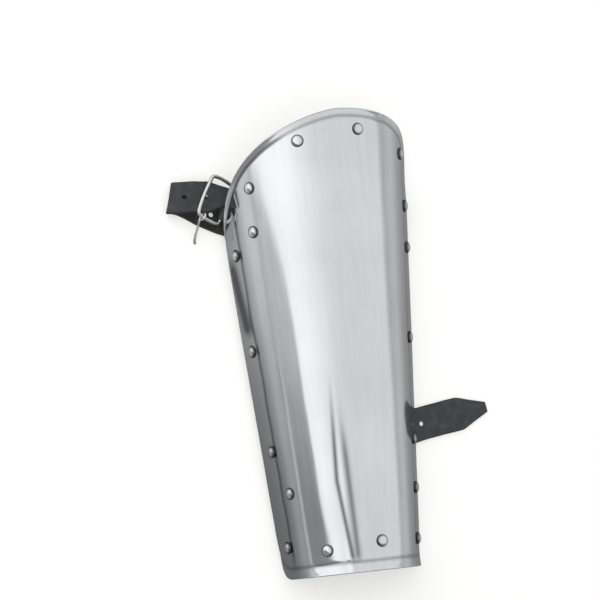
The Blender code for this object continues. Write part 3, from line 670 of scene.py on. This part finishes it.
def leather_group():
    """Printed leather grain on UV: pebbles, creases across the strap and slow worn patches."""
    group, pebble_size, wear = effect_group("leather_grain", "Pebble size", "Wear")
    where = group.nodes.new("ShaderNodeTexCoord").outputs["UV"]
    stretch = add_node(group, "ShaderNodeMapping", Vector=where, Scale=(90.0, 420.0, 1.0))
    pebbles = add_node(group, "ShaderNodeTexVoronoi", {"feature": "SMOOTH_F1"}, Vector=where,
                       Scale=pebble_size ** -1.0)
    crease = noise(group, Vector=stretch.outputs[0], Scale=1.0, Detail=4.0)
    patch = noise(group, Vector=where, Scale=110.0, Detail=3.0)
    pebble = (Field(group, pebbles.outputs["Distance"]) * 1.3).clamped()
    worn = patch.step(0.42, 0.70) * wear
    add_node(group, "NodeGroupOutput",
             Tone=(crease.step(0.30, 0.75) * 0.35 + worn * 0.65).clamped(),
             Gloss=(patch * 0.6 + crease * 0.4).step(0.3, 0.7),
             Height=pebble * -0.5 + crease * 0.5 + patch * 0.4)
    return group


leather_grain = leather_group()


def leather(name, pebble, wear, dark, light, rough, lift, specular):
    """Leather material: two tones, two roughnesses and a relief from the shared grain."""
    material, tree, shader = new_material(name, Specular_IOR_Level=specular)
    grain = add_node(tree, "ShaderNodeGroup", {"node_tree": leather_grain}, Pebble_size=pebble,
                     Wear=wear)
    blend_finish(tree, shader, grain, dark, light, rough, lift)
    return material


leather_top = leather("leather_top", 0.0011, 1.0, (0.011, 0.012, 0.013, 1.0),
                      (0.031, 0.033, 0.036, 1.0), (0.36, 0.54), 0.00007, 0.55)
leather_back = leather("leather_back", 0.0005, 0.6, (0.012, 0.012, 0.013, 1.0),
                       (0.040, 0.039, 0.038, 1.0), (0.74, 0.92), 0.00016, 0.25)
leather_cut = leather("leather_cut", 0.0007, 0.8, (0.010, 0.010, 0.010, 1.0),
                      (0.030, 0.028, 0.026, 1.0), (0.55, 0.75), 0.00008, 0.40)


def smooth_rows(rows, spacing, closed=False):
    """Rows along a smooth curve through the given ones, about this far apart in mm, that never
    passes a row in a direction in which it turns back there."""
    count = len(rows)

    def pick(k):
        return rows[k % count] if closed else rows[max(0, min(k, count - 1))]

    def slope(k):
        before, here, after = pick(k - 1), pick(k), pick(k + 1)
        back, ahead = math.dist(before[:3], here[:3]), math.dist(here[:3], after[:3])
        if not back or not ahead:
            return [(a - b) / (back + ahead) for b, a in zip(before, after)]
        changes = [((h - b) / back, (a - h) / ahead) for b, h, a in zip(before, here, after)]
        return [3.0 * (back + ahead) / ((2.0 * ahead + back) / one + (ahead + 2.0 * back) / two)
                if one * two > 0.0 else 0.0 for one, two in changes]

    made = []
    for k in range(count if closed else count - 1):
        here, after, out, into = pick(k), pick(k + 1), slope(k), slope(k + 1)
        gap = math.dist(here[:3], after[:3])
        hops = max(1, round(gap / spacing))
        for t in (hop / hops for hop in range(hops)):
            made.append([h * (1 + 2 * t) * (1 - t) ** 2 + a * t * t * (3 - 2 * t)
                         + gap * (o * t * (1 - t) ** 2 - i * t * t * (1 - t))
                         for h, a, o, i in zip(here, after, out, into)])
    return made if closed else made + [list(rows[-1])]


def strip_section(width, thickness):
    """Rounded flat section as (across, up, finish): 0 on the face up, 1 on the face down, 2 cut."""
    corner = thickness * 0.34
    flat, steps = width / 2 - corner, 10
    up = [(flat * (1 - 2 * k / steps), thickness / 2, 0) for k in range(steps + 1)]
    side = [(-flat - corner * math.sin(t), (thickness / 2 - corner) + corner * math.cos(t), 2)
            for t in (math.pi / 6, math.pi / 3, math.pi / 2)]
    left = [up[-1][:2] + (2,)] + side + [(x, -z, 2) for x, z, _ in reversed(side)]
    down = [(-flat * (1 - 2 * k / steps), -thickness / 2, 1) for k in range(steps + 1)]
    right = [down[-1][:2] + (2,)] + [(-x, -z, 2) for x, z, _ in left[1:]]
    return up[:-1] + left + down[:-1] + right


def leather_strip(name, rows, width, thickness, grain_up, tip_length=0.0, tip_share=1.0):
    """Closed strip of leather along the rows, its UV in metres across and along."""
    course = smooth_rows(rows, 1.5)
    section = strip_section(width, thickness)
    places = [Vector(row[:3]) * 0.001 for row in course]
    run = [0.0]
    for before, after in zip(places, places[1:]):
        run.append(run[-1] + (after - before).length)
    strip = bmesh.new()
    marks, rings = {}, []
    for k, place in enumerate(places):
        along = (places[min(k + 1, len(places) - 1)] - places[max(k - 1, 0)]).normalized()
        across = Vector(course[k][3:6]).normalized()
        up = along.cross(across).normalized()
        taper = 1.0
        if tip_length:
            taper = min(1.0, tip_share + (1.0 - tip_share) * (run[-1] - run[k]) / tip_length)
        # cut by hand: the width wavers by less than one part in a hundred
        taper *= 1.0 + 0.004 * math.sin(run[k] * 190.0) + 0.003 * math.sin(run[k] * 431.0)
        ring = []
        for x, z, _ in section:
            vert = strip.verts.new(place + across * (x * taper) + up * z)
            marks[vert] = (x, run[k])
            ring.append(vert)
        rings.append(ring)
    finishes = {0: int(not grain_up), 1: int(grain_up), 2: 2}
    for before, after in zip(rings, rings[1:]):
        for i, (_, _, finish) in enumerate(section):
            n = (i + 1) % len(section)
            face = strip.faces.new((before[i], before[n], after[n], after[i]))
            face.material_index = finishes[finish]
    for ring in (rings[0], rings[-1]):
        strip.faces.new(ring).material_index = 2
    layer = strip.loops.layers.uv.new("leather")
    for face in strip.faces:
        for loop in face.loops:
            loop[layer].uv = marks[loop.vert]
    return smooth_mesh(name, strip, leather_top, leather_back, leather_cut)


def punch_tree(sizes):
    """Cuts a round or oblong hole through the leather at each marked point."""
    tree, size = shape_tree("leather_punch", sizes)
    places = add_node(tree, "GeometryNodeObjectInfo", Object=size["Places"])
    turn = add_node(tree, "FunctionNodeAxesToRotation",
                    {"primary_axis": "Z", "secondary_axis": "X"},
                    Primary_Axis=direction(tree, "through"),
                    Secondary_Axis=direction(tree, "course"))
    drill = add_node(tree, "GeometryNodeMeshCylinder", Vertices=24, Radius=0.001,
                     Depth=size["Depth"])
    drills = add_node(tree, "GeometryNodeInstanceOnPoints", Points=places.outputs["Geometry"],
                      Instance=drill.outputs["Mesh"], Rotation=turn.outputs[0],
                      Scale=direction(tree, "radii"))
    loose = add_node(tree, "GeometryNodeRealizeInstances", Geometry=drills.outputs[0])
    cut = add_node(tree, "GeometryNodeMeshBoolean",
                   {"operation": "DIFFERENCE", "solver": "EXACT"},
                   Mesh_1=face_mark(tree, size["Geometry"], "wall", 0.0),
                   Mesh_2=face_mark(tree, loose.outputs[0], "wall", 1.0))
    return finish_tree(tree, cut.outputs["Mesh"], size["Hole wall"],
                       Selection=read_mark(tree, "wall").calc("GREATER_THAN", 0.5))


punch_sizes = {"Places": ("Object", None), "Depth": ("Float", 0.0095),
               "Hole wall": ("Material", leather_cut)}
punch = punch_tree(punch_sizes)


def punched(name, strip, holes):
    """Adds the strip with its holes: (place, direction through, direction along, radii) in mm."""
    rows = [(*place, *through, *along, *radii, 1.0) for place, through, along, radii in holes]
    points = marked_points(name + "_places", rows, through=("FLOAT_VECTOR", slice(3, 6)),
                           course=("FLOAT_VECTOR", slice(6, 9)),
                           radii=("FLOAT_VECTOR", slice(9, 12)))
    places = placed(name + "_places", points)
    piece = grown(name, punch, dict(punch_sizes, Places=("Object", places)), start=strip)
    bpy.data.objects.remove(places)
    piece.data.set_sharp_from_angle(angle=math.radians(50.0))
    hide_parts(name)
    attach(piece, "root")


for name, rows, width, holes in (
        ("upper_strap", upper_strap_rows, upper_strap_width, upper_strap_holes),
        ("lower_strap", lower_strap_rows, lower_strap_width, lower_strap_holes)):
    punched(name, leather_strip(name, rows, width, strap_thickness, False, strap_tip_length,
                                strap_tip_share),
            [(hole[:3], hole[3:6], (1.0, 0.0, 0.0), (strap_hole_radius, strap_hole_radius))
             for hole in holes])


# ---------------------------------------------------------------- chapes
# The short leathers that carry the buckles: riveted inside the left wall, thinner than the
# straps, each folded round its buckle's hinge bar, with an oblong slot where a prong works.

upper_chape_width, lower_chape_width, chape_thickness = 0.025, 0.027, 0.0016
upper_chape_rows = (
    (-53.7, 93.9, 49.7, 0.05, -1.00, -0.04),
    (-60.8, 93.9, 40.9, 0.06, -1.00, -0.03),
    (-62.2, 94.0, 38.0, 0.06, -1.00, -0.03),
    (-62.9, 93.4, 35.0, 0.08, -1.00, -0.02),
    (-62.8, 94.1, 32.9, 0.07, -1.00, -0.02),
    (-61.8, 96.5, 30.0, 0.01, -1.00, -0.02),
    (-56.9, 108.9, 17.4, -0.29, -0.96, -0.01),
    (-57.0, 111.4, 14.8, -0.35, -0.94, -0.01),
    (-59.4, 113.5, 12.5, -0.40, -0.92, -0.00),
    (-66.4, 116.9, 9.1, -0.47, -0.88, 0.00),
    (-69.5, 118.6, 8.7, -0.48, -0.88, 0.00),
    (-75.2, 121.6, 8.9, -0.47, -0.88, 0.00),
    (-76.5, 122.3, 7.5, -0.47, -0.88, 0.00),
    (-76.7, 122.3, 6.5, -0.47, -0.88, 0.00),
    (-76.0, 122.0, 4.7, -0.47, -0.88, 0.00),
    (-74.4, 121.1, 3.9, -0.47, -0.88, 0.00),
    (-61.1, 114.1, 3.9, -0.47, -0.88, 0.00),
)
lower_chape_rows = (
    (-45.3, -114.4, 38.2, 0.06, -1.00, -0.03),
    (-49.7, -114.4, 32.0, 0.06, -1.00, -0.02),
    (-53.1, -114.4, 25.5, 0.07, -1.00, -0.02),
    (-53.0, -114.2, 17.6, 0.00, -0.98, -0.20),
    (-52.7, -114.4, 8.4, 0.00, -1.00, -0.05),
    (-52.1, -114.5, 6.9, 0.00, -1.00, 0.00),
    (-50.3, -114.6, 6.5, -0.00, -1.00, 0.01),
    (-45.2, -114.5, 6.7, 0.00, -1.00, 0.00),
    (-43.7, -114.5, 5.3, 0.00, -1.00, 0.00),
    (-43.7, -114.5, 3.3, 0.00, -1.00, 0.00),
    (-44.3, -114.5, 2.5, 0.00, -1.00, 0.00),
    (-46.1, -114.5, 1.7, 0.00, -1.00, 0.00),
    (-61.1, -114.5, 1.7, 0.00, -1.00, 0.00),
)
chape_slot_radii = (9.0, 2.5)
for name, rows, width, grain_up, slot, course in (
        ("upper_chape", upper_chape_rows, upper_chape_width, True,
         (-74.4, 121.1, 6.5), (0.88, -0.47, 0.0)),
        ("lower_chape", lower_chape_rows, lower_chape_width, False,
         (-46.1, -114.5, 4.3), (-1.0, 0.0, 0.0))):
    punched(name, leather_strip(name, rows, width, chape_thickness, grain_up),
            [(slot, (0.0, 0.0, 1.0), course, chape_slot_radii)])


# ---------------------------------------------------------------- buckles
# Two frames bent from round steel wire and their loose wire prongs, nickel-plated. Each prong is
# an open eye round a bar of its frame, a straight shank and a tip bent over the far bar.

frame_wire_radius, prong_wire_radius = 0.0015, 0.0010
wire_paths = {
    "upper_buckle": (
        (-81.2, 143.9, 15.3), (-82.4, 144.2, 15.9), (-83.7, 144.0, 16.5), (-84.9, 143.3, 16.8),
        (-85.7, 142.2, 16.9), (-98.2, 118.7, 16.9), (-98.6, 117.4, 16.8), (-98.6, 116.1, 16.5),
        (-98.0, 114.9, 15.9), (-97.1, 114.1, 15.3), (-85.1, 107.7, 8.2), (-83.9, 107.4, 7.5),
        (-82.6, 107.6, 7.0), (-81.5, 108.3, 6.6), (-80.6, 109.4, 6.5), (-68.1, 132.9, 6.5),
        (-67.7, 134.2, 6.6), (-67.8, 135.6, 7.0), (-68.3, 136.7, 7.5), (-69.2, 137.5, 8.2),
    ),
    "upper_prong": (
        (-96.8, 110.7, 14.1), (-95.9, 110.7, 15.6), (-94.8, 111.6, 16.6), (-94.0, 113.1, 16.7),
        (-93.6, 114.6, 15.9), (-94.0, 115.6, 14.5), (-94.8, 115.6, 13.1), (-95.9, 114.8, 12.0),
        (-96.8, 113.3, 11.8), (-99.0, 106.3, 8.3), (-101.6, 98.4, 4.3), (-102.2, 95.0, 2.4),
        (-101.8, 93.4, 1.3),
    ),
    "lower_buckle": (
        (-27.2, -96.6, 4.3), (-25.9, -96.9, 4.3), (-24.7, -97.7, 4.3), (-23.9, -98.9, 4.3),
        (-23.6, -100.2, 4.3), (-23.6, -128.8, 4.3), (-23.9, -130.2, 4.3), (-24.7, -131.4, 4.3),
        (-25.9, -132.2, 4.3), (-27.2, -132.4, 4.3), (-42.5, -132.4, 4.3), (-43.9, -132.2, 4.3),
        (-45.1, -131.4, 4.3), (-45.9, -130.2, 4.3), (-46.1, -128.8, 4.3), (-46.1, -100.2, 4.3),
        (-45.9, -98.9, 4.3), (-45.1, -97.7, 4.3), (-43.9, -96.9, 4.3), (-42.5, -96.6, 4.3),
    ),
    "lower_prong": (
        (-43.3, -114.5, 4.2), (-43.9, -114.5, 2.6), (-45.4, -114.5, 1.6), (-47.1, -114.5, 1.7),
        (-48.4, -114.5, 2.7), (-48.9, -114.5, 4.3), (-48.4, -114.5, 6.0), (-47.0, -114.5, 7.0),
        (-45.3, -114.5, 7.0), (-37.4, -114.5, 8.7), (-28.3, -114.5, 10.7), (-24.5, -114.5, 11.2),
        (-22.6, -114.5, 11.1),
    ),
}

plated_wire, wire_shading, wire_shader = new_material("plated_wire", Metallic=1.0)
add_polish(wire_shading, wire_shader, 900.0, 130.0, (0.66, 0.66, 0.64, 1.0),
           (0.84, 0.83, 0.81, 1.0), (0.14, 0.26), 0.000008)

# rounded end of a wire: distance past its last place and radius, as shares of its own radius
wire_end = ((0.28, 0.88), (0.55, 0.62), (0.75, 0.30))


def bent_wire(name, path, radius, sides, closed):
    """Adds a round wire along a smoothed path in mm, a closed ring or with rounded ends."""
    places = [Vector(row) * 0.001 for row in smooth_rows(path, 0.7, closed)]
    count = len(places)
    solid = bmesh.new()
    rings, normal = [], None
    for k, place in enumerate(places):
        ahead = places[(k + 1) % count if closed else min(k + 1, count - 1)]
        behind = places[(k - 1) % count if closed else max(k - 1, 0)]
        along = (ahead - behind).normalized()
        normal = normal or along.orthogonal()
        normal = (normal - along * normal.dot(along)).normalized()
        side = along.cross(normal)
        turns = [2 * math.pi * i / sides for i in range(sides)]
        hoops = [(0.0, 1.0)]
        if not closed and k == 0:
            hoops = [(-shift, share) for shift, share in reversed(wire_end)] + hoops
        if not closed and k == count - 1:
            hoops += wire_end
        spokes = [normal * math.cos(t) + side * math.sin(t) for t in turns]
        for shift, share in hoops:
            middle = place + along * (shift * radius)
            rings.append([solid.verts.new(middle + spoke * radius * share) for spoke in spokes])
    for before, after in list(zip(rings, rings[1:])) + ([(rings[-1], rings[0])] if closed else []):
        start = 0
        if closed and after is rings[0]:
            start = min(range(sides), key=lambda i: (before[0].co - after[i].co).length)
        for i in range(sides):
            solid.faces.new((before[i], before[(i + 1) % sides], after[(i + 1 + start) % sides],
                             after[(i + start) % sides]))
    if not closed:
        solid.faces.new(rings[0])
        solid.faces.new(rings[-1])
    piece = placed(name, smooth_mesh(name, solid, plated_wire))
    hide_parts(name)
    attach(piece, "root")


for name, path in wire_paths.items():
    is_frame = name.endswith("buckle")
    bent_wire(name, path, frame_wire_radius if is_frame else prong_wire_radius, 24, is_frame)


# ---------------------------------------------------------------- studio
# A pale paper floor under one wide soft panel, which gives the plate its bright band and that
# band's sharp left side, with a softer fill from the foot end and a long-lens camera above.

floor_mesh = bpy.data.meshes.new("floor")
floor_mesh.from_pydata([(-6, -6, 0), (6, -6, 0), (6, 6, 0), (-6, 6, 0)], [], [(0, 1, 2, 3)])
floor = placed("floor", floor_mesh)
floor_paper, floor_nodes, floor_shader = new_material(
    "floor_paper", Base_Color=(0.82, 0.82, 0.81, 1.0), Roughness=0.9, Specular_IOR_Level=0.1)

# the floor that the plate mirrors is darker: it is in the shade, most of all on the left
floor_place = floor_nodes.nodes.new("ShaderNodeTexCoord")
floor_split = add_node(floor_nodes, "ShaderNodeSeparateXYZ", Vector=floor_place.outputs["Object"])
floor_x, floor_y = (Field(floor_nodes, floor_split.outputs[axis]) for axis in "XY")
away = floor_x.calc("ABSOLUTE").step(0.05, 0.20) * 0.22 + 0.21
foot_left = (floor_x * -1.0).step(-0.02, 0.05) * (floor_y.step(-0.13, 0.10) * -0.48 + 0.36)
shade = add_node(floor_nodes, "ShaderNodeBsdfDiffuse", Color=away - away * foot_left)
seen = floor_nodes.nodes.new("ShaderNodeLightPath")
choice = add_node(floor_nodes, "ShaderNodeMixShader", Fac=seen.outputs["Is Glossy Ray"])
floor_nodes.links.new(floor_shader.outputs[0], choice.inputs[1])
floor_nodes.links.new(shade.outputs[0], choice.inputs[2])
wire(floor_nodes, floor_nodes.nodes["Material Output"], Surface=choice.outputs[0])
floor_mesh.materials.append(floor_paper)

# the panel's bright part ends on a drawn edge, which the plate shows as the left side of its band
panel_height = 0.60
panel_edge = (
    (-6.0, 0.32), (-2.5, 0.20), (-1.82, 0.135), (-1.44, 0.089), (-1.18, 0.062), (-0.97, 0.033),
    (-0.87, 0.0), (-0.84, -0.05), (-0.80, -0.10), (-0.79, -0.16), (-0.75, -0.21), (-0.67, -0.24),
    (-0.56, -0.265), (-0.45, -0.33), (-0.2, -0.5), (0.5, -0.8), (1.6, -1.1), (6.0, -2.0))
panel_points = panel_edge + ((6.0, 4.0), (-6.0, 4.0), (6.0, -4.0), (-6.0, -4.0))
edge_count = len(panel_edge)
panel_mesh = bpy.data.meshes.new("soft_panel")
panel_mesh.from_pydata([(x, y, panel_height) for x, y in panel_points], [],
                       [tuple(reversed(range(edge_count + 2))),
                        tuple(range(edge_count)) + (edge_count + 2, edge_count + 3)])
panel_mesh.polygons[1].material_index = 1
panel = placed("soft_panel", panel_mesh)


def glow_material(name, along, start, stop, change, base):
    """Plain light whose strength eases from base to base + change along a line on the panel."""
    material = bpy.data.materials.new(name)
    material.use_nodes = True
    tree = material.node_tree
    tree.nodes.clear()
    place = tree.nodes.new("ShaderNodeTexCoord")
    split = add_node(tree, "ShaderNodeSeparateXYZ", Vector=place.outputs["Object"])
    run = Field(tree, split.outputs["X"]) * along[0] + Field(tree, split.outputs["Y"]) * along[1]
    glow = add_node(tree, "ShaderNodeEmission", Strength=run.step(start, stop) * change + base)
    add_node(tree, "ShaderNodeOutputMaterial", Surface=glow.outputs[0])
    return material


panel_mesh.materials.append(glow_material("panel_bright", (1.0, 0.0), -0.55, 0.15, -0.36, 1.14))
panel_mesh.materials.append(glow_material("panel_dim", (-0.032, 1.0), -0.215, 0.03, 0.31, 0.27))
panel.visible_camera = False
panel.visible_shadow = False

world = bpy.data.worlds.new("studio_air")
bpy.context.scene.world = world
world.use_nodes = True
air = world.node_tree
sky_place = air.nodes.new("ShaderNodeTexCoord")
sky_split = add_node(air, "ShaderNodeSeparateXYZ", Vector=sky_place.outputs["Generated"])
sky = Field(air, sky_split.outputs["Z"]).step(0.0, 0.5) * -0.12 + 0.58
wire(air, air.nodes["Background"], Color=(0.93, 0.97, 1.0, 1.0), Strength=sky)


def soft_lamp(name, place, aim, size, power):
    """Adds a wide lamp that shows in no reflection and throws no shadow."""
    data = bpy.data.lights.new(name, "AREA")
    data.shape = "RECTANGLE"
    data.size, data.size_y = size
    data.energy = power
    data.use_shadow = False
    lamp = placed(name, data)
    lamp.location = place
    lamp.rotation_euler = (Vector(aim) - Vector(place)).to_track_quat("-Z", "Y").to_euler()
    lamp.visible_glossy = False
    lamp.visible_camera = False


soft_lamp("fill_foot", (0.0, -1.4, 1.3), (0.0, -0.2, 0.0), (2.4, 1.6), 42.0)
soft_lamp("fill_left", (-1.6, 0.1, 1.2), (-0.2, 0.0, 0.0), (1.6, 2.0), 20.0)

# camera: from the shell's own measurements, 12 degrees to the left of straight down and 5 towards
# the foot, rolled so that the shin line leans left
turn_left, tip_down, roll = math.radians(12.0), math.radians(5.0), math.radians(6.2)
camera_target, camera_distance = Vector((-0.0305, 0.0366, 0.0453)), 2.4
back = Vector((-math.sin(turn_left) * math.cos(tip_down), -math.sin(tip_down),
               math.cos(turn_left) * math.cos(tip_down)))
level_right = Vector((math.cos(turn_left), 0.0, math.sin(turn_left)))
level_up = back.cross(level_right)
right = level_right * math.cos(roll) - level_up * math.sin(roll)
upward = back.cross(right)
camera_data = bpy.data.cameras.new("camera")
camera_data.lens = 182.0
camera_data.sensor_width = 36.0
camera_data.clip_end = 20.0
camera = placed("camera", camera_data)
camera.matrix_world = (Matrix.Translation(camera_target + back * camera_distance)
                       @ Matrix((right, upward, back)).transposed().to_4x4())
bpy.context.scene.camera = camera
bpy.context.scene.view_settings.view_transform = "Standard"
